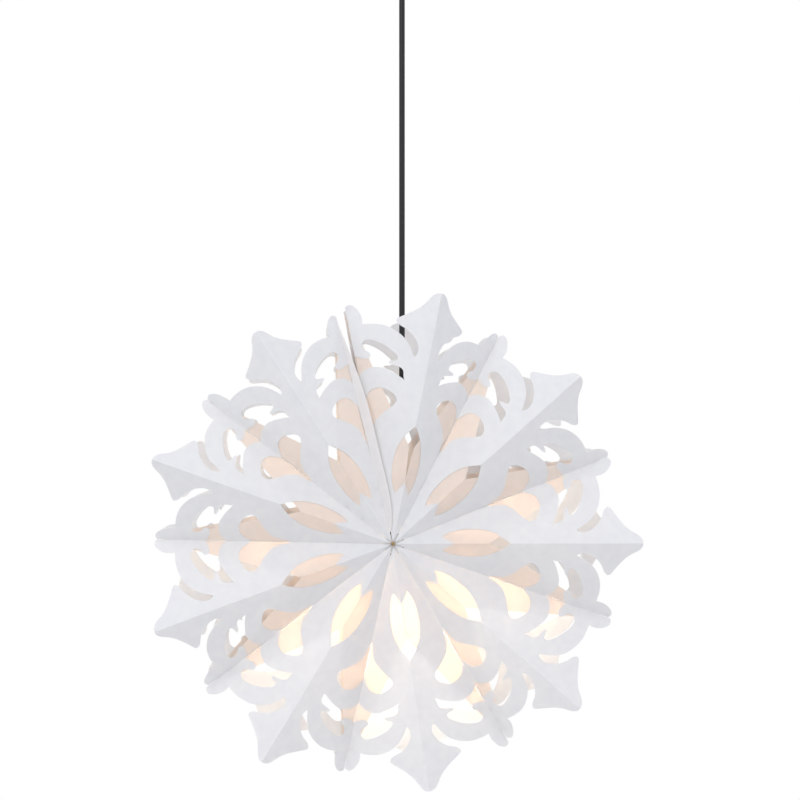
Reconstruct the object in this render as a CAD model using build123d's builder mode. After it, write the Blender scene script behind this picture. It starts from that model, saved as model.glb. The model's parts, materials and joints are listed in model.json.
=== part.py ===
from build123d import *
import os
from math import cos, radians, sin, tan

# Paper snowflake star on a lamp cord. Millimetres, +Z up, the star faces -Y.
# The origin is on the ceiling, at the middle of the bracket's top face.
# Angles round the star are in degrees, clockwise from straight up, seen from the front.

# --- Star: sheet sizes and how far it is spread open ---
star_drop = 640.0           # ceiling down to the star's centre
star_offset = -13.0         # star's axis beside the cord
apex_depth = 84.0           # star's mid-plane to its front or back apex
ray_length = 252.0          # apex to arrow tip, along the crease
ray_trims = (3.0, 0.0, -1.0, -3.0, -3.5, 0.0, 0.0, 2.0, 0.0)        # how much longer each ray is
crease_rise = 1.5           # degrees that a crease climbs outwards
seam_slope = 10.5           # degrees that a seam falls back outwards
first_seam = -11.2          # the closing panel right of the opening
ray_spreads = (39.0, 41.0, 40.5, 40.2, 42.2, 40.2, 38.8, 37.0, 38.6)
crease_shifts = (2.7, 0.0, 0.9, 2.1, 1.0, -0.8, -1.3, 0.2, 0.0)     # crease off its ray's middle
paper = 0.4                 # ornate outer sheet
lining_paper = 0.25
lining_gap = 0.3            # lining behind the outer sheet
sheet_clearance = 0.1       # sheet edge to a seam panel's face
apex_hole_radius = 2.0
lobe_return = 4.0           # a lobe's end meets the seam this far short of the seam's end

# --- Flat pattern, drawn for this crease length, seam length and crease-to-seam angle ---
pattern_length = 252.0
pattern_seam = 240.0
pattern_wedge = 21.0
lining_notch = 97.0         # lining's inner corner on the crease
lining_slit = 60.0          # first ray's lining gapes along its crease from here to the notch
lining_gape = 3.0           # by this much each side

# --- Seam panels, the double sheets between two rays ---
panel = 0.5
panel_inner_radius = 12.0
panel_setback = 15.0        # panel's points short of the seams' ends, so that the lobes stand free
panel_waist = 20.0          # its outer edge curves in by this much
lamp_space_radius = 110.0
lamp_space_depth = 40.0     # half the depth of the room for the lamp
lamp_space_corner = 14.0

# --- Hubs, spreader wire and closing dots ---
hub_radius = 9.7
hub_thickness = 1.0
hub_clearance = 0.6         # behind the linings
wire_radius = 1.0
wire_clearance = 0.2
wire_bend = 5.0
wire_proud = 0.5            # wire's end in front of the apex
ring_play = 0.9             # ring round the lampholder's neck
dot_radius = 5.0
dot_thickness = 0.8
dot_reach = 64.0            # dot's centre from the star's axis

# --- Closing tab: the last ray's lap over the first ray, front and back ---
tab_width = 10.5
tab_tilt = 31.0             # degrees that it climbs from the last seam
tab_start = 14.0
tab_straight_end = 150.0
tab_setback = 8.0           # tab's point short of the seam's end
tab_clearance = 0.1

# --- Lampholder and bulb; heights from the star's centre ---
cord_radius = 3.0
holder_radius = 13.5
holder_wall = 2.5
holder_bottom = -24.0
holder_split = 4.0
shoulder_height = 24.0
neck_radius = 6.0
neck_top = 36.0
thread_radius = 7.05        # inside of the thread sleeve
thread_wall = 0.5
thread_bottom = -22.0
thread_top = -5.0
bulb_clearance = 0.2
globe_radius = 22.5
globe_height = -58.0
globe_wall = 0.8
globe_neck_top = -27.0
cap_clearance = 0.1         # bulb's cap in the globe's neck
cap_depth = 3.0             # and how far it goes in
cap_top = -9.0
contact_radius = 2.6
contact_top = -6.5
tongue_gap = 0.2
tongue_thickness = 0.6
insert_clearance = 1.0      # insert's bore round the contacts
elbow_clearance = 8.5       # spreader wire's elbow out from the lampholder
wire_room = 3.0             # wire's bend inside the lamp space

# --- Ceiling fitting ---
bracket_length = 70.0
bracket_width = 18.0
bracket_thickness = 1.5
screw_spacing = 52.0
screw_hole_radius = 2.2
block_length = 24.0
block_width = 14.0
block_height = 12.0
cup_radius = 42.0
cup_height = 40.0
cup_wall = 1.5
ceiling_clearance = 0.3
grip_radius = 5.0
grip_collar_radius = 8.0
grip_collar_height = 18.0
grip_screw_share = 0.6      # screw's place down the collar
thread_proud = 1.0          # grip's thread past its nut
grip_clearance = 0.2
nut_radius = 9.0
nut_height = 4.0
grip_screw_radius = 1.5
grip_screw_head_radius = 2.6
grip_screw_head = 1.6

# --- Rounded edges ---
holder_round = 2.5
holder_chamfer = 0.6
cap_round = 1.5
contact_round = 1.0
bracket_corner = 4.0
block_corner = 1.5
cup_round = 9.0
collar_round = 3.0

cap_radius = thread_radius - bulb_clearance
globe_neck_radius = cap_radius + cap_clearance + globe_wall
centre = Vector(star_offset, 0, -star_drop)
front_apex = centre - Vector(0, apex_depth, 0)
mid_plane = Plane(origin=centre, x_dir=(1, 0, 0), z_dir=(0, 1, 0))
ring_radius = neck_radius + wire_radius + ring_play
pattern_run = pattern_seam * cos(radians(pattern_wedge))
seam_length = pattern_seam * ray_length / pattern_length
hub_setback = (hub_radius * tan(radians(seam_slope)) + hub_clearance
               + (paper + lining_gap + lining_paper) / cos(radians(tab_tilt)))
dot_depth = (lamp_space_depth + apex_depth - dot_reach * tan(radians(seam_slope))) / 2
seam_angles = [first_seam + sum(ray_spreads[:i]) for i in range(len(ray_spreads) + 1)]


def radial(angle):
    """Unit vector out from the star's axis."""
    return Vector(sin(radians(angle)), 0, cos(radians(angle)))


def crease_line(angle):
    return radial(angle) * cos(radians(crease_rise)) - Vector(0, sin(radians(crease_rise)), 0)


def seam_line(angle):
    return radial(angle) * cos(radians(seam_slope)) + Vector(0, sin(radians(seam_slope)), 0)


def facet_plane(crease, seam, setback=0.0):
    """Plane of one facet: X along the crease, Y towards the seam."""
    along = crease_line(crease)
    normal = along.cross(seam_line(seam)).normalized()
    inward = 1 if seam > crease else -1
    return Plane(origin=front_apex + normal * inward * setback, x_dir=along, z_dir=normal)


def keep_side(wedge, seam_margin):
    """Corners of the area on the crease's side of the seam, with room for the seam panel."""
    far = 2 * pattern_length
    start = seam_margin / sin(radians(wedge))
    return [(start, 0), (far, 0), (far, (far - start) * tan(radians(wedge)))]


def seam_point(run, wedge):
    """Point on the seam, that far out along the crease."""
    return run, run * tan(radians(wedge))


def ornate_facet(plane, wedge, scale):
    """Half of a ray's outer sheet, from the crease (y = 0) to the seam."""
    widen = scale * tan(radians(wedge)) / tan(radians(pattern_wedge))
    lobe_end = seam_point((pattern_run - lobe_return) * scale, wedge)

    def spots(*points):
        return [(x * scale, y * widen) for x, y in points]

    with BuildSketch(plane) as facet:
        with BuildLine():
            Polyline((0, 0), *spots((252, 0), (252, 2.5)))
            # Arrowhead: concave side, round shoulder, back in to the neck
            Spline(*spots((252, 2.5), (248.5, 7.6), (241, 12.2), (234, 18.1), (228, 25.5), (223, 32.6),
                          (219, 36), (216, 34.2), (213, 28.4), (209, 21), (204, 16), (199, 12.8),
                          (193, 11), (185.5, 13.5)))
            # Outer ring's outer edge
            Spline(*spots((185.5, 13.5), (192, 17.2), (198, 21.4), (203.5, 26.8), (207.7, 33.5),
                          (210.5, 41), (211.6, 49), (211, 57), (208.3, 66.5)))
            # Round-ended lobe beside the seam
            Spline(*spots((208.3, 66.5), (214.5, 68), (220.5, 72), (224.6, 77.2), (225.4, 81.4), (223, 84.3)),
                   lobe_end)
            Line(lobe_end, (0, 0))
        make_face()
        with BuildLine():
            # Leaf over the crease, with a tooth at its inner end
            Polyline(*spots((118.5, 0), (118.5, -2), (62, -2), (62, 0), (49.5, 7.1)))
            Spline(*spots((49.5, 7.1), (58, 11.2), (70, 13.7), (84, 14.3), (98, 12), (109, 7), (118.5, 0)))
        make_face(mode=Mode.SUBTRACT)
        with BuildLine():
            # Drop over the seam
            Spline(*spots((95, 36.5), (105, 37.3), (113, 37.7), (119, 35.6), (125, 31.9), (130, 27.7),
                          (135, 23.7), (140, 21.8), (144.5, 24), (148, 29.5), (149.7, 36), (148.5, 42),
                          (145, 46.8), (140, 48.8), (134, 50)))
            Polyline(*spots((134, 50), (132, 56), (94, 42), (95, 36.5)))
        make_face(mode=Mode.SUBTRACT)
        with BuildLine():
            # Slot and crescent between the two rings, with a tooth and a curl
            Spline(*spots((156, 59.8), (162, 57.2), (167, 51), (169.3, 43.6), (168, 35), (165, 25.5),
                          (161, 17.5)))
            Spline(*spots((161, 17.5), (165.5, 19.9), (170, 20.9), (172.8, 24), (174, 29.8),
                          (175.6, 35.6)))
            Spline(*spots((175.6, 35.6), (178.4, 31.2), (180, 28.2), (182.6, 28.2), (186.5, 32),
                          (190.5, 39), (193.5, 47), (194.8, 54), (193.8, 60), (190.3, 62.8), (186.4, 62.2),
                          (183.4, 59.2), (182, 55.6), (179, 53.2), (175.9, 54.8), (174.6, 59.4), (175.2, 65),
                          (176.4, 72)))
            Polyline(*spots((176.4, 72), (156, 66), (156, 59.8)))
        make_face(mode=Mode.SUBTRACT)
        Circle(apex_hole_radius, mode=Mode.SUBTRACT)
        with BuildLine():
            Polyline(*keep_side(wedge, panel / 2 + sheet_clearance + paper / 3), close=True)
        make_face(mode=Mode.INTERSECT)
    return facet.sketch


def lining_facet(plane, wedge, scale, shift, gape):
    """Half of a ray's lining: a triangle from the apex to the crease and the seam's end."""
    with BuildSketch(plane) as facet:
        with BuildLine():
            Polyline((shift / tan(radians(wedge)), shift), (lining_slit * scale, shift),
                     (lining_notch * scale, shift + gape), seam_point(pattern_run * scale, wedge),
                     close=True)
        make_face()
        Circle(apex_hole_radius, mode=Mode.SUBTRACT)
        with BuildLine():
            Polyline(*keep_side(wedge, panel / 2 + sheet_clearance + paper), close=True)
        make_face(mode=Mode.INTERSECT)
    return facet.sketch


def ray_angles(index):
    """Left seam, crease and right seam of a ray."""
    left, right = seam_angles[index], seam_angles[index + 1]
    return left, (left + right) / 2 + crease_shifts[index], right


def write(piece, name):
    piece.label = name
    export_step(piece, f"parts/{name}.step")


# --- Rays: a front and a back pleat each ---
for index, trim in enumerate(ray_trims):
    left, crease, right = ray_angles(index)
    scale = (ray_length + trim) / pattern_length

    with BuildPart() as ray:
        for seam in (left, right):
            wedge = crease_line(crease).get_angle(seam_line(seam))
            inward = 1 if seam > crease else -1
            extrude(ornate_facet(facet_plane(crease, seam), wedge, scale), amount=inward * paper)
        mirror(about=mid_plane)
    write(ray.part, f"ray_{index + 1}")

    gape = lining_gape if index == 0 else 0
    setback = paper + lining_gap
    with BuildPart() as lining:
        for seam in (left, right):
            wedge = crease_line(crease).get_angle(seam_line(seam))
            inward = 1 if seam > crease else -1
            plane = facet_plane(crease, seam, setback)
            lean = abs(plane.z_dir.dot(radial(crease + 90))) / abs(plane.z_dir.Y)
            extrude(lining_facet(plane, wedge, scale, setback * lean, gape), amount=inward * lining_paper)
        mirror(about=mid_plane)
    write(lining.part, f"lining_{index + 1}")

# --- Seam panels: C-shaped, open round the lamp ---
for index, angle in enumerate(seam_angles):
    closing = index in (0, len(seam_angles) - 1)
    thickness = panel / 2 if closing else panel
    tip = seam_length - panel_setback
    edge_at_inner = apex_depth - panel_inner_radius * tan(radians(seam_slope))
    edge_at_tip = apex_depth - tip * tan(radians(seam_slope))
    with BuildPart() as seam_panel:
        with BuildSketch(Plane(origin=centre, x_dir=radial(angle), z_dir=radial(angle + 90))):
            with BuildLine():
                Polyline((tip, edge_at_tip), (panel_inner_radius, edge_at_inner),
                         (panel_inner_radius, -edge_at_inner), (tip, -edge_at_tip))
                ThreePointArc((tip, -edge_at_tip), (tip - panel_waist, 0), (tip, edge_at_tip))
            make_face()
            with BuildSketch(mode=Mode.PRIVATE) as room:
                RectangleRounded(2 * lamp_space_radius, 2 * lamp_space_depth, lamp_space_corner)
            add(room.sketch, mode=Mode.SUBTRACT)
        extrude(amount=thickness / 2, both=True)
    write(seam_panel.part, f"seam_panel_{index + 1}")

# --- Hub discs behind the front and back apex ---
for name, side in (("front_hub", -1), ("back_hub", 1)):
    face = centre + Vector(0, side * (apex_depth - hub_setback), 0)
    with BuildPart() as hub:
        with BuildSketch(Plane(origin=face, x_dir=(1, 0, 0), z_dir=(0, -side, 0))):
            Circle(hub_radius)
            Circle(wire_radius + wire_clearance, mode=Mode.SUBTRACT)
        extrude(amount=hub_thickness)
    write(hub.part, name)

# --- Spreader wire: a ring on the lampholder's shoulder, an arm to each hub ---
ring_height = -star_drop + shoulder_height + wire_radius + wire_clearance
with BuildPart() as spreader:
    with BuildSketch(Plane.XZ):
        with Locations((ring_radius, ring_height)):
            Circle(wire_radius)
    revolve(axis=Axis.Z)
    for side in (-1, 1):
        bend = side * (lamp_space_depth - wire_room)
        elbow = side * (holder_radius + elbow_clearance)
        with BuildLine() as arm:
            FilletPolyline((0, side * ring_radius, ring_height), (0, elbow, ring_height),
                           (star_offset, bend, -star_drop),
                           (star_offset, side * (apex_depth + wire_proud), -star_drop), radius=wire_bend)
        with BuildSketch(Plane(origin=arm.line @ 0, z_dir=arm.line % 0)):
            Circle(wire_radius)
        sweep(path=arm.line)
write(spreader.part, "spreader_wire")

# --- Hook and loop dots that hold the two closing panels together near the middle ---
for name, angle, side in (("hook_dots", seam_angles[0], -1), ("loop_dots", seam_angles[-1], 1)):
    outward = radial(angle + 90) * side
    with BuildPart() as dots:
        with BuildSketch(Plane(origin=centre + outward * (panel / 4), x_dir=radial(angle), z_dir=outward)):
            with Locations((dot_reach, dot_depth), (dot_reach, -dot_depth)):
                Circle(dot_radius)
        extrude(amount=dot_thickness)
    write(dots.part, name)

# --- Closing tab: a strip along the last seam that laps over the first ray, front and back ---
last_seam = seam_angles[-1]
climb = radial(last_seam + 90) * cos(radians(tab_tilt)) - Vector(0, sin(radians(tab_tilt)), 0)
tab_face = seam_line(last_seam).cross(climb).normalized()
tab_end = seam_length - tab_setback
tab_plane = Plane(origin=front_apex - Vector(0, tab_clearance, 0), x_dir=seam_line(last_seam), z_dir=tab_face)
with BuildPart() as closing_tab:
    with BuildSketch(tab_plane):
        with BuildLine():
            Polyline((tab_end, 0), (tab_start, 0), (tab_start, tab_width / 5))
            Spline((tab_start, tab_width / 5), (2.5 * tab_start, 0.8 * tab_width),
                   (tab_straight_end / 2, tab_width), (tab_straight_end, tab_width),
                   ((tab_straight_end + tab_end) / 2, 0.6 * tab_width), (tab_end, 0))
        make_face()
    extrude(amount=paper * (1 if tab_face.Y < 0 else -1))
    mirror(about=mid_plane)
write(closing_tab.part, "closing_tab")

# --- Lampholder: cap with its neck, shell, thread sleeve and contact tongue ---
with BuildPart() as holder_cap:
    with BuildSketch(Plane.XY.offset(-star_drop + holder_split)):
        Circle(holder_radius)
    extrude(amount=shoulder_height - holder_split)
    fillet(holder_cap.edges().group_by(Axis.Z)[-1], holder_round)
    with BuildSketch(Plane.XY.offset(-star_drop + shoulder_height)):
        Circle(neck_radius)
    extrude(amount=neck_top - shoulder_height)
    with BuildSketch(Plane.XY.offset(-star_drop + holder_split)):
        Circle(holder_radius - holder_wall)
    extrude(amount=shoulder_height - holder_split - holder_wall, mode=Mode.SUBTRACT)
write(holder_cap.part, "holder_cap")

with BuildPart() as holder_shell:
    with BuildSketch(Plane.XY.offset(-star_drop + holder_bottom)):
        Circle(holder_radius)
        Circle(holder_radius - holder_wall, mode=Mode.SUBTRACT)
    extrude(amount=holder_split - holder_bottom)
    chamfer(holder_shell.edges().group_by(Axis.Z)[0], holder_chamfer)
write(holder_shell.part, "holder_shell")

with BuildPart() as holder_insert:
    with BuildSketch(Plane.XY.offset(-star_drop + thread_bottom)):
        Circle(holder_radius - holder_wall)
        Circle(thread_radius + thread_wall, mode=Mode.SUBTRACT)
    extrude(amount=thread_top - thread_bottom)
    with BuildSketch(Plane.XY.offset(-star_drop + thread_top)):
        Circle(holder_radius - holder_wall)
        Circle(contact_radius + insert_clearance, mode=Mode.SUBTRACT)
    extrude(amount=holder_split - thread_top)
write(holder_insert.part, "holder_insert")

with BuildPart() as thread_sleeve:
    with BuildSketch(Plane.XY.offset(-star_drop + thread_bottom)):
        Circle(thread_radius + thread_wall)
        Circle(thread_radius, mode=Mode.SUBTRACT)
    extrude(amount=thread_top - thread_bottom)
write(thread_sleeve.part, "thread_sleeve")

with BuildPart() as contact_tongue:
    with BuildSketch(Plane.XY.offset(-star_drop + contact_top + tongue_gap)):
        Circle(contact_radius)
    extrude(amount=tongue_thickness)
    with BuildSketch(Plane.XY.offset(-star_drop + contact_top + tongue_gap + tongue_thickness)):
        Circle(contact_radius / 2)
    extrude(amount=holder_split - contact_top)
write(contact_tongue.part, "contact_tongue")

# --- Bulb: hollow globe, screw cap and foot contact ---
with BuildPart() as bulb_globe:
    with BuildSketch(Plane.XZ):
        with Locations((0, -star_drop + globe_height)):
            Circle(globe_radius)
        with Locations((0, -star_drop + globe_neck_top)):
            Rectangle(2 * globe_neck_radius, globe_neck_top - globe_height, align=(Align.CENTER, Align.MAX))
        with Locations((0, -star_drop + globe_height)):
            Circle(globe_radius - globe_wall, mode=Mode.SUBTRACT)
        with Locations((0, -star_drop + globe_neck_top)):
            Rectangle(2 * (globe_neck_radius - globe_wall), globe_neck_top - globe_height,
                      align=(Align.CENTER, Align.MAX), mode=Mode.SUBTRACT)
        with Locations((0, -star_drop)):
            Rectangle(2 * globe_radius, 2 * star_drop, align=(Align.MIN, Align.CENTER), mode=Mode.INTERSECT)
    revolve(axis=Axis.Z)
write(bulb_globe.part, "bulb_globe")

with BuildPart() as bulb_cap:
    with BuildSketch(Plane.XY.offset(-star_drop + globe_neck_top - cap_depth)):
        Circle(cap_radius)
    extrude(amount=cap_top - globe_neck_top + cap_depth)
    fillet(bulb_cap.edges().group_by(Axis.Z)[-1], cap_round)
write(bulb_cap.part, "bulb_cap")

with BuildPart() as bulb_contact:
    with BuildSketch(Plane.XY.offset(-star_drop + cap_top)):
        Circle(contact_radius)
    extrude(amount=contact_top - cap_top)
    fillet(bulb_contact.edges().group_by(Axis.Z)[-1], contact_round)
write(bulb_contact.part, "bulb_contact")

# --- Cord: straight down from the terminal block into the neck's top face ---
block_bottom = -bracket_thickness - block_height
with BuildPart() as cord:
    with BuildSketch(Plane.XY.offset(block_bottom)):
        Circle(cord_radius)
    extrude(amount=-(star_drop - neck_top + block_bottom))
write(cord.part, "cord")

# --- Ceiling fitting: bracket, terminal block, cup and the grip that holds it on the cord ---
with BuildPart() as ceiling_bracket:
    with BuildSketch():
        RectangleRounded(bracket_length, bracket_width, bracket_corner)
        with GridLocations(screw_spacing, 0, 2, 1):
            Circle(screw_hole_radius, mode=Mode.SUBTRACT)
    extrude(amount=-bracket_thickness)
write(ceiling_bracket.part, "ceiling_bracket")

with BuildPart() as terminal_block:
    with BuildSketch(Plane.XY.offset(-bracket_thickness)):
        RectangleRounded(block_length, block_width, block_corner)
    extrude(amount=-block_height)
write(terminal_block.part, "terminal_block")

cup_floor = -ceiling_clearance - cup_height
with BuildPart() as ceiling_cup:
    with BuildSketch(Plane.XY.offset(cup_floor)):
        Circle(cup_radius)
    extrude(amount=cup_height)
    fillet(ceiling_cup.edges().group_by(Axis.Z)[0], cup_round)
    offset(amount=-cup_wall, openings=ceiling_cup.faces().sort_by(Axis.Z)[-1])
    with BuildSketch(Plane.XY.offset(cup_floor)):
        Circle(grip_radius + grip_clearance)
    extrude(amount=cup_wall, mode=Mode.SUBTRACT)
write(ceiling_cup.part, "ceiling_cup")

nut_bottom = cup_floor + cup_wall + grip_clearance
collar_top = cup_floor - grip_clearance
screw_height = collar_top - grip_collar_height * grip_screw_share
grip_top = nut_bottom + nut_height + thread_proud
with BuildPart() as cord_grip:
    with BuildSketch(Plane.XY.offset(collar_top)):
        Circle(grip_collar_radius)
    extrude(amount=-grip_collar_height)
    fillet(cord_grip.edges().group_by(Axis.Z)[0], collar_round)
    with BuildSketch(Plane.XY.offset(collar_top)):
        Circle(grip_radius)
    extrude(amount=grip_top - collar_top)
    with BuildSketch(Plane.XY.offset(collar_top - grip_collar_height)):
        Circle(cord_radius + grip_clearance)
    extrude(amount=grip_top - collar_top + grip_collar_height, mode=Mode.SUBTRACT)
    with BuildSketch(Plane(origin=(cord_radius + grip_clearance / 2, 0, screw_height), z_dir=(1, 0, 0))):
        Circle(grip_screw_radius + grip_clearance / 2)
    extrude(amount=grip_collar_radius, mode=Mode.SUBTRACT)
write(cord_grip.part, "cord_grip")

with BuildPart() as grip_nut:
    with BuildSketch(Plane.XY.offset(nut_bottom)):
        RegularPolygon(nut_radius, 6)
        Circle(grip_radius + grip_clearance, mode=Mode.SUBTRACT)
    extrude(amount=nut_height)
write(grip_nut.part, "grip_nut")

with BuildPart() as grip_screw:
    with BuildSketch(Plane(origin=(cord_radius + grip_clearance / 2, 0, screw_height), z_dir=(1, 0, 0))):
        Circle(grip_screw_radius)
    extrude(amount=grip_collar_radius - cord_radius)
    head_seat = grip_collar_radius + grip_clearance / 2
    with BuildSketch(Plane(origin=(head_seat, 0, screw_height), z_dir=(1, 0, 0))):
        Circle(grip_screw_head_radius)
    extrude(amount=grip_screw_head)
write(grip_screw.part, "grip_screw")
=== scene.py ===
import json
from math import atan, atan2, cos, hypot, pi, radians, sin, tan
from random import Random

import bmesh
import bpy
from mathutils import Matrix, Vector, noise


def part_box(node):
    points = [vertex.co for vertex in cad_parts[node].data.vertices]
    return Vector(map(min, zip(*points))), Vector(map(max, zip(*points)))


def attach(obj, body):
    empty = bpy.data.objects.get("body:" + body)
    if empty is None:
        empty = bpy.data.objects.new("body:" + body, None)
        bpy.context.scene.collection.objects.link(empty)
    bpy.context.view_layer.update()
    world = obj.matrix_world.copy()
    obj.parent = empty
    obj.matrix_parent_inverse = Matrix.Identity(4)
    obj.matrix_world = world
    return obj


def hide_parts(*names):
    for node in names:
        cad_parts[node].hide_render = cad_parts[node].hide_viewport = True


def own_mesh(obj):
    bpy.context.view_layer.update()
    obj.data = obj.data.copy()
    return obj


# Paper snowflake star on a lamp cord, hanging from a ceiling cup. Metres, +Z up, the star faces -Y.
# Angles round the star are in radians, clockwise from straight up, seen from the front.

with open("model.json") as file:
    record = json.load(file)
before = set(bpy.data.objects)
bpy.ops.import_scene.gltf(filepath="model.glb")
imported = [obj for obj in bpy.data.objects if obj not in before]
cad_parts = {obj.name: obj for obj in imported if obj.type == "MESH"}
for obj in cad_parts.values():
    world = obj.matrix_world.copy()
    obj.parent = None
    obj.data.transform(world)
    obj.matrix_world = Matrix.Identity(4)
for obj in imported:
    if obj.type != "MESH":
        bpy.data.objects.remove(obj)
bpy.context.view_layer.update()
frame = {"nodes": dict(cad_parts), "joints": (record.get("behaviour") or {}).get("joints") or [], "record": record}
nodes = frame["nodes"]
mm = 0.001


# --- Places read from the frame ---
def joint(name):
    return next(j for j in frame["joints"] if j["name"] == name)


star_centre = Vector(joint("fold_2")["pos_m"])
star_depth = -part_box("spreader_wire")[0].y          # star's middle to the wire's end in the front apex
ray_count = 9


def radial(angle):
    """Unit vector out from the star's axis."""
    return Vector((sin(angle), 0, cos(angle)))


def around(point):
    """Angle and distance of a point round the star's axis."""
    x, z = point.x - star_centre.x, point.z - star_centre.z
    return atan2(x, z) % (2 * pi), hypot(x, z)


def seam_angle(index):
    """Angle of a seam panel, from the middle of its farthest corners."""
    points = [v.co for v in nodes[f"seam_panel_{index}"].data.vertices]
    far = max(around(p)[1] for p in points)
    tips = [p for p in points if around(p)[1] > far - 1 * mm]
    return around(sum(tips, Vector()) / len(tips))[0]


def crease_angle(index):
    """Angle of a ray's crease, from the middle of its arrow's blunt tip."""
    points = [v.co for v in nodes[f"ray_{index}"].data.vertices]
    far = max(around(p)[1] for p in points)
    tips = [p for p in points if around(p)[1] > far - 0.6 * mm]
    return around(sum(tips, Vector()) / len(tips))[0]


# --- Camera: a little left of the star and above it, looking almost level ---
camera_distance = 2.166
camera_left = 0.090         # from the star's axis
camera_up = 0.105           # from the star's middle
look_up = 0.144             # how far above the star's front apex it looks
look_right = 7 * mm
picture_width = 0.800       # of what the camera sees, level with the front apex

camera_data = bpy.data.cameras.new("camera")
camera_data.angle = 2 * atan(picture_width / 2 / (camera_distance - star_depth))
camera = bpy.data.objects.new("camera", camera_data)
camera.location = star_centre + Vector((-camera_left, -camera_distance, camera_up))
target = star_centre + Vector((look_right, -star_depth, look_up))
camera.rotation_euler = (target - camera.location).to_track_quat("-Z", "Y").to_euler()
bpy.context.scene.collection.objects.link(camera)
bpy.context.scene.camera = camera


# --- Small helpers ---
def linear(hex_colour):
    """Linear colour of an sRGB hex value such as "d9c7b0"."""
    parts = [int(hex_colour[i:i + 2], 16) / 255 for i in (0, 2, 4)]
    return (*[c / 12.92 if c <= 0.04045 else ((c + 0.055) / 1.055) ** 2.4 for c in parts], 1)


def add_node(tree, kind, inputs=None, **settings):
    """Adds a node, sets its properties and its inputs: a number, a colour or another node's output."""
    node = tree.nodes.new(kind)
    for name, value in settings.items():
        setattr(node, name, value)
    for name, value in (inputs or {}).items():
        if isinstance(value, bpy.types.NodeSocket):
            tree.links.new(value, node.inputs[name])
        else:
            node.inputs[name].default_value = value
    return node


def new_material(name):
    """An empty material: its tree, its Principled shader and the output node."""
    material = bpy.data.materials.new(name)
    material.use_nodes = True
    tree = material.node_tree
    return material, tree, tree.nodes["Principled BSDF"], tree.nodes["Material Output"]


def place(tree):
    """Position on the piece, in metres."""
    return add_node(tree, "ShaderNodeTexCoord").outputs["Object"]


def per_metre(size_in_mm):
    """Texture scale for a pattern whose features are that far apart."""
    return 1 / (size_in_mm * mm)


def mottle(tree, feature, low, high, detail=3):
    """Colour that wanders between two sRGB values, with patches that many mm apart."""
    patches = add_node(tree, "ShaderNodeTexNoise",
                       {"Vector": place(tree), "Scale": per_metre(feature), "Detail": detail})
    ramp = add_node(tree, "ShaderNodeValToRGB", {"Fac": patches.outputs["Fac"]})
    ramp.color_ramp.elements[0].position = 0.35
    ramp.color_ramp.elements[0].color = linear(low)
    ramp.color_ramp.elements[1].position = 0.65
    ramp.color_ramp.elements[1].color = linear(high)
    return ramp.outputs["Color"]


def relief(tree, height, depth):
    """Bump of that real depth in mm from a 0 to 1 height."""
    return add_node(tree, "ShaderNodeBump",
                    {"Height": height, "Distance": depth * mm, "Strength": 1.0}).outputs["Normal"]


def paper(name, low, high, through, grain, share, depth):
    """Uncoated paper: a matt felt of pulp fibres, a little cloudy, that glows with light from behind."""
    material, tree, shader, output = new_material(name)
    colour = mottle(tree, 9, low, high)
    # Fibres are about 0.03 mm wide; they are drawn coarser so that the tooth shows
    fibre = add_node(tree, "ShaderNodeTexNoise",
                     {"Vector": place(tree), "Scale": per_metre(grain), "Detail": 6, "Roughness": 0.7})
    tooth = relief(tree, fibre.outputs["Fac"], depth)
    tree.links.new(colour, shader.inputs["Base Color"])
    tree.links.new(tooth, shader.inputs["Normal"])
    shader.inputs["Roughness"].default_value = 0.85
    shader.inputs["IOR"].default_value = 1.47
    shader.inputs["Specular IOR Level"].default_value = 0.25
    glow = add_node(tree, "ShaderNodeBsdfTranslucent", {"Color": linear(through), "Normal": tooth})
    both = add_node(tree, "ShaderNodeMixShader", {"Fac": share})
    tree.links.new(shader.outputs["BSDF"], both.inputs[1])
    tree.links.new(glow.outputs["BSDF"], both.inputs[2])
    tree.links.new(both.outputs["Shader"], output.inputs["Surface"])
    return material


def moulded(name, low, high, roughness, ior=1.5):
    """Injection moulded plastic: even colour, a fine spark-eroded grain and a soft sheen."""
    material, tree, shader, _ = new_material(name)
    tree.links.new(mottle(tree, 6, low, high), shader.inputs["Base Color"])
    grain = add_node(tree, "ShaderNodeTexNoise",
                     {"Vector": place(tree), "Scale": per_metre(0.35), "Detail": 2})
    tree.links.new(relief(tree, grain.outputs["Fac"], 0.02), shader.inputs["Normal"])
    shader.inputs["Roughness"].default_value = roughness
    shader.inputs["IOR"].default_value = ior
    return material


def metal(name, low, high, roughness, pitch):
    """Bare metal with draw or turning marks that many mm apart."""
    material, tree, shader, _ = new_material(name)
    tree.links.new(mottle(tree, 3, low, high), shader.inputs["Base Color"])
    marks = add_node(tree, "ShaderNodeTexNoise",
                     {"Vector": place(tree), "Scale": per_metre(pitch), "Detail": 4})
    tree.links.new(relief(tree, marks.outputs["Fac"], 0.01), shader.inputs["Normal"])
    shader.inputs["Metallic"].default_value = 1
    shader.inputs["Roughness"].default_value = roughness
    return material


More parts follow.
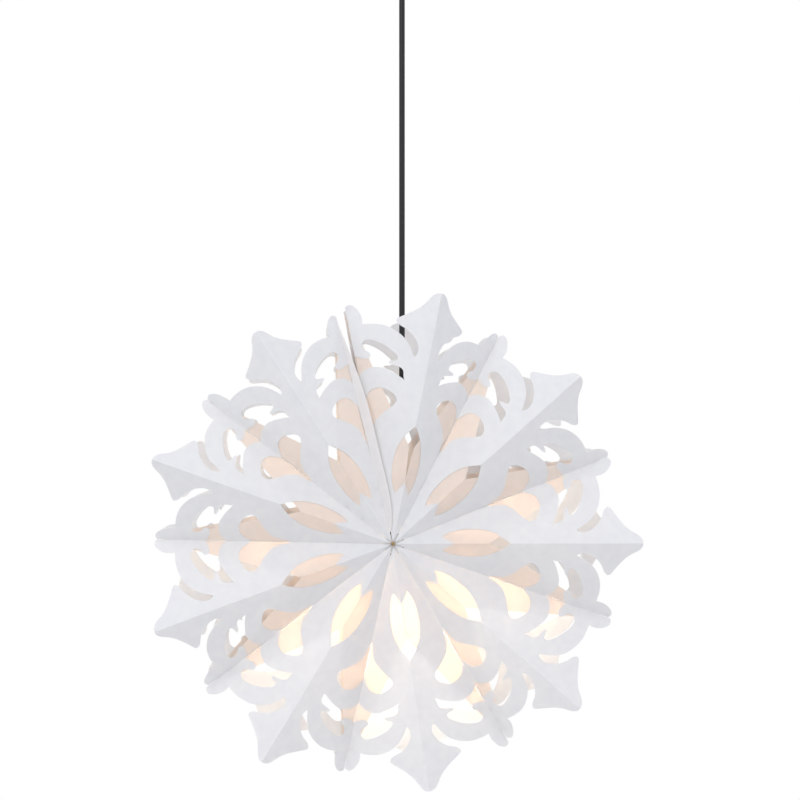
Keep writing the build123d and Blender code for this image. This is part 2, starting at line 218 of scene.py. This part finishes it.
def opal_glass():
    """Opal lamp glass, lit from inside: an even warm glow, a little weaker towards the neck."""
    material, tree, shader, _ = new_material("opal_glass_lit")
    shader.inputs["Base Color"].default_value = linear("fff3e2")
    shader.inputs["Roughness"].default_value = 0.18
    height = add_node(tree, "ShaderNodeSeparateXYZ", {"Vector": place(tree)}).outputs["Z"]
    low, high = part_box("bulb_globe")
    fade = add_node(tree, "ShaderNodeMapRange", {"Value": height, "From Min": low.z, "From Max": high.z})
    ramp = add_node(tree, "ShaderNodeValToRGB", {"Fac": fade.outputs["Result"]})
    ramp.color_ramp.elements[0].color = linear("fff0de")
    ramp.color_ramp.elements[1].color = linear("ffe3c2")
    tree.links.new(ramp.outputs["Color"], shader.inputs["Emission Color"])
    shader.inputs["Emission Strength"].default_value = lamp_strength
    return material


def cord_sheath():
    """PVC sheath, extruded: black with a soft gloss and faint lengthwise flow lines."""
    material, tree, shader, _ = new_material("pvc_sheath_black")
    tree.links.new(mottle(tree, 4, "0c0c0d", "141415"), shader.inputs["Base Color"])
    along = add_node(tree, "ShaderNodeMapping", {"Vector": place(tree), "Scale": (1, 1, 0.02)})
    lines = add_node(tree, "ShaderNodeTexNoise", {"Vector": along.outputs["Vector"], "Scale": per_metre(0.6)})
    tree.links.new(relief(tree, lines.outputs["Fac"], 0.03), shader.inputs["Normal"])
    shader.inputs["Roughness"].default_value = 0.38
    shader.inputs["IOR"].default_value = 1.53
    return material


def nylon_pile():
    """Hook and loop tape: nylon pile on a woven ground, so it is matt and rough to the eye."""
    material, tree, shader, _ = new_material("nylon_hook_and_loop_tape")
    tree.links.new(mottle(tree, 1.2, "e4e4e2", "f4f4f2"), shader.inputs["Base Color"])
    pile = add_node(tree, "ShaderNodeTexVoronoi", {"Vector": place(tree), "Scale": per_metre(0.9)})
    tree.links.new(relief(tree, pile.outputs["Distance"], 0.3), shader.inputs["Normal"])
    shader.inputs["Roughness"].default_value = 0.9
    shader.inputs["Sheen Weight"].default_value = 0.4
    return material


lamp_strength = 44.0
card = paper("pulp_card_die_cut", "f4f5f6", "f8f9f9", "fcf7f3", 0.5, 0.20, 0.02)
tissue = paper("tissue_paper_lining", "faf7f4", "fffcf9", "fff1e2", 0.9, 0.5, 0.03)
panel_paper = paper("pulp_paper_two_sheets_glued", "f7f7f8", "fcfcfc", "fff6ee", 0.6, 0.3, 0.02)
board = paper("greyboard_die_cut", "d8d2c6", "e2ddd2", "e8d8c0", 0.8, 0.05, 0.05)
finishes = {
    "star_paper": card,
    "lining_paper": tissue,
    "panel_paper": panel_paper,
    "hub_card": board,
    "brass_wire": metal("brass_wire_drawn", "c9a04e", "d8b468", 0.28, 0.2),
    "hook_and_loop": nylon_pile(),
    "cord_pvc": cord_sheath(),
    "black_plastic": moulded("pbt_black_moulded", "101011", "18181a", 0.42),
    "white_plastic": moulded("abs_white_moulded", "e6e6e3", "efefec", 0.36),
    "insulator": moulded("melamine_moulded_cream", "cfcbbf", "dbd7cb", 0.55),
    "contact_brass": metal("brass_strip_pressed", "c4a052", "d6b56a", 0.32, 0.4),
    "cap_nickel": metal("nickel_plate_on_brass", "b9b7b0", "cbc9c3", 0.25, 0.3),
    "opal_glass": opal_glass(),
    "zinc_steel": metal("zinc_plated_steel", "a9adb0", "c2c5c7", 0.35, 0.5),
}
for part in frame["record"]["subparts"]:
    mesh = nodes[part["node"]].data
    mesh.materials.clear()
    mesh.materials.append(finishes[part["material_slot"]])

# --- Cord: pulled straight between the lampholder's neck and the ceiling ---
cord_radius = (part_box("cord")[1].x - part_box("cord")[0].x) / 2
cord_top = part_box("cord")[1].z
cord_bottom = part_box("cord")[0].z
line = bpy.data.curves.new("lamp_cord", "CURVE")
line.dimensions = "3D"
line.bevel_depth = cord_radius
line.bevel_resolution = 6
line.use_fill_caps = True
run = line.splines.new("NURBS")
stations = (0, 0.25, 0.5, 0.75, 1)
run.points.add(len(stations) - 1)
for point, share in zip(run.points, stations):
    point.co = (0, 0, cord_bottom + share * (cord_top - cord_bottom), 1)
run.order_u = 3
run.use_endpoint_u = True
lamp_cord = bpy.data.objects.new("lamp_cord", line)
bpy.context.scene.collection.objects.link(lamp_cord)
line.materials.append(finishes["cord_pvc"])
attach(lamp_cord, "suspension")
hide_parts("cord")

# --- Paper pleats: each ray and lining as a left and a right half, folded at the crease ---
sharp_fold = radians(35)    # edges that turn by more than this are shaded as cut or creased
rim_reach = 0.06            # the rim's lift reaches its full height this far past its start
full_bulge = 0.2            # distance from the axis where a facet bulges by bow_height
grid = 6 * mm               # spacing of the points that let a sheet bow
seam_reach = 0.9 * mm       # sheet edges this near a seam panel's middle close up to it
panel_half = 0.25 * mm
bow_height = 1.3 * mm       # how far a facet bulges between its crease and its seam
ripple_height = 0.5 * mm
curl_height = 1.6 * mm      # how far the cut rim lifts
curl_start = 0.185          # distance from the star's axis where the rim starts to lift
chance = Random(7)


def half_sheet(node, name, crease, seam):
    """Copy of one side of a pleated node, from the crease to the seam, cut into a fine grid."""
    form = bmesh.new()
    form.from_mesh(nodes[node].data)
    bmesh.ops.remove_doubles(form, verts=form.verts, dist=0.001 * mm)
    out = radial(crease)
    across = radial(crease + pi / 2)
    if (seam - crease) % (2 * pi) > pi:
        across = -across

    def cut(point, normal, **choice):
        everything = form.verts[:] + form.edges[:] + form.faces[:]
        return bmesh.ops.bisect_plane(form, geom=everything, dist=0.0005 * mm, plane_co=point,
                                      plane_no=normal, **choice)

    cut(star_centre, -across, clear_outer=True)
    bmesh.ops.holes_fill(form, edges=[edge for edge in form.edges if edge.is_boundary])
    far = max((v.co - star_centre).dot(out) for v in form.verts)
    wide = max((v.co - star_centre).dot(across) for v in form.verts)
    for step in range(1, int(far / grid) + 1):
        cut(star_centre + out * step * grid, out)
    for step in range(1, int(wide / grid) + 1):
        cut(star_centre + across * step * grid, across)
    mesh = bpy.data.meshes.new(name)
    form.to_mesh(mesh)
    form.free()
    custom = mesh.attributes.get("custom_normal")
    if custom:
        mesh.attributes.remove(custom)
    mesh.shade_smooth()
    mesh.set_sharp_from_angle(angle=sharp_fold)
    return mesh


def bow(mesh, crease, seam, traits):
    """Bulges a half sheet a little, front and back, lifts its cut rim and closes it up to its seam."""
    half = abs((seam - crease + pi) % (2 * pi) - pi)
    beside_seam = radial(seam + pi / 2) * (1 if (crease - seam) % (2 * pi) < pi else -1)
    for vertex in mesh.vertices:
        angle, distance = around(vertex.co)
        gap = (vertex.co - star_centre).dot(beside_seam)
        if gap < seam_reach:
            vertex.co += beside_seam * (panel_half - gap)
        share = min(abs((angle - crease + pi) % (2 * pi) - pi) / half, 1)
        side = -1 if vertex.co.y < 0 else 1
        bulge, lift, drift = traits[side]
        spot = Vector((distance, share * 0.1, drift)) * 18
        swell = bulge * bow_height + ripple_height * noise.noise(spot)
        height = sin(pi * share) * (distance / full_bulge) * swell
        rim = max(distance - curl_start, 0) / rim_reach
        height += lift * curl_height * rim * rim * sin(pi * (0.15 + 0.7 * (1 - share)))
        vertex.co.y += side * height


def paper_half(node, suffix, crease, seam, body, traits, fold):
    name = f"{node}_{suffix}"
    mesh = half_sheet(node, name, crease, seam)
    bow(mesh, crease, seam, traits)
    piece = bpy.data.objects.new(name, mesh)
    bpy.context.scene.collection.objects.link(piece)
    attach(piece, body)
    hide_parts(node)
    slot = "star_paper" if node.startswith("ray") else "lining_paper"
    mesh.materials.clear()
    mesh.materials.append(finishes[slot])
    if fold:
        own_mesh(piece)
    return piece


def fan_body(index):
    """Body that carries the seam panel after that ray."""
    return "star" if index <= 1 else f"fan_{index}"


for index in range(1, ray_count + 1):
    crease = crease_angle(index)
    sides = (("left", seam_angle(index), fan_body(index - 1)),
             ("right", seam_angle(index + 1), fan_body(index)))
    fold = f"fold_{index}" if index > 1 else None
    for suffix, seam, body in sides:
        traits = {side: (chance.uniform(-0.6, 1), chance.uniform(-0.8, 1), chance.uniform(0, 9))
                  for side in (-1, 1)}
        for node in (f"ray_{index}", f"lining_{index}"):
            paper_half(node, suffix, crease, seam, body, traits, fold)

# --- Floor, light ---
floor_drop = 1.50
bpy.ops.mesh.primitive_circle_add(vertices=96, radius=2.2, fill_type="NGON", location=(0, 0, -floor_drop))
floor = bpy.context.object
floor.name = "floor"
floor_material, floor_tree, floor_shader, _ = new_material("matt_floor_paint")
floor_shader.inputs["Base Color"].default_value = linear("f0efed")
floor_shader.inputs["Roughness"].default_value = 0.9
floor.data.materials.append(floor_material)

world = bpy.data.worlds.new("studio")
bpy.context.scene.world = world
world.use_nodes = True
sky = world.node_tree
sky.nodes.clear()
direction = add_node(sky, "ShaderNodeSeparateXYZ",
                     {"Vector": add_node(sky, "ShaderNodeTexCoord").outputs["Generated"]})
rise = add_node(sky, "ShaderNodeMapRange", {"Value": direction.outputs["Z"],
                                            "From Min": -1.0, "From Max": 1.0,
                                            "To Min": 0.62, "To Max": 1.00})
soft = add_node(sky, "ShaderNodeBackground", {"Color": linear("f6f8ff"), "Strength": rise.outputs["Result"]})
plain = add_node(sky, "ShaderNodeBackground", {"Color": linear("ffffff"), "Strength": 1.0})
seen = add_node(sky, "ShaderNodeLightPath")
chosen = add_node(sky, "ShaderNodeMixShader", {"Fac": seen.outputs["Is Camera Ray"]})
sky.links.new(soft.outputs["Background"], chosen.inputs[1])
sky.links.new(plain.outputs["Background"], chosen.inputs[2])
add_node(sky, "ShaderNodeOutputWorld", {"Surface": chosen.outputs["Shader"]})


def softbox(name, location, size, power, colour):
    lamp = bpy.data.lights.new(name, "AREA")
    lamp.shape = "DISK"
    lamp.size = size
    lamp.energy = power
    lamp.color = linear(colour)[:3]
    box = bpy.data.objects.new(name, lamp)
    box.location = location
    box.rotation_euler = (star_centre - box.location).to_track_quat("-Z", "Y").to_euler()
    bpy.context.scene.collection.objects.link(box)


softbox("key_softbox", Vector((-0.9, -1.6, 1.0)), 1.2, 11, "ffffff")
bpy.context.scene.view_settings.view_transform = "Standard"
